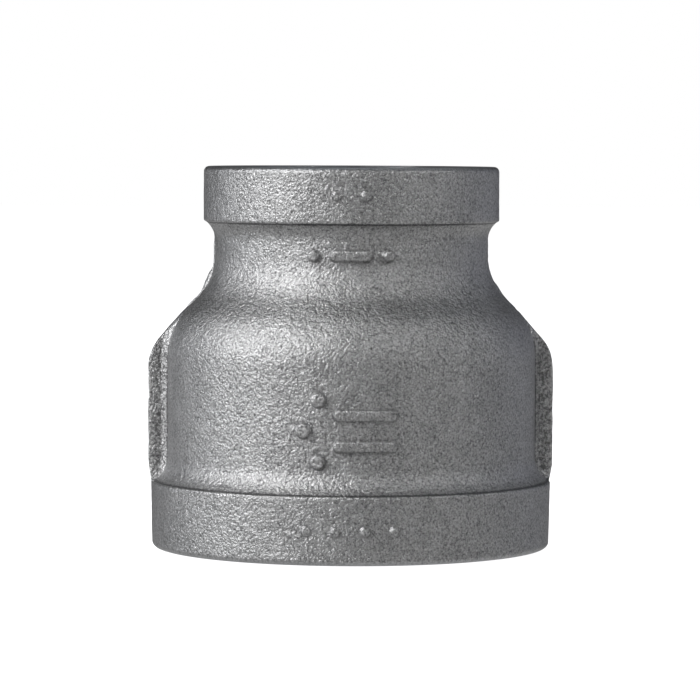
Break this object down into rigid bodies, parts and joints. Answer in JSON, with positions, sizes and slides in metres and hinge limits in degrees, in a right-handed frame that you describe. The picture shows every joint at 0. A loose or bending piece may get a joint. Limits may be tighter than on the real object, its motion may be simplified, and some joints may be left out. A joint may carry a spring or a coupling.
{
  "type": "concentric reducer",
  "caption": "Bell-shaped malleable iron reducing coupling with taper pipe threads in a large and a small mouth, end bands and side ribs.",
  "frame": {"origin": "centre of the machined face of the large mouth", "axes": "+Z along the pipe axis from the large mouth to the small mouth, +X through the right rib, -Y through the front with the raised marks"},
  "size_m": [0.0626, 0.062, 0.0587],
  "materials": {
    "cast_skin": "bright sand-cast malleable iron, fine grainy skin with a galvanised sheen",
    "cut_thread": "freshly cut iron, fine turning lines"
  },
  "bodies": {
    "root": {"body_shell": "cast_skin", "large_end_band": "cast_skin", "small_end_band": "cast_skin", "large_end_thread": "cut_thread", "small_end_thread": "cut_thread", "left_rib": "cast_skin", "right_rib": "cast_skin", "left_seam": "cast_skin", "right_seam": "cast_skin", "barrel_mark": "cast_skin", "neck_mark": "cast_skin", "large_band_mark": "cast_skin", "small_band_mark": "cast_skin"}
  },
  "joints": []
}
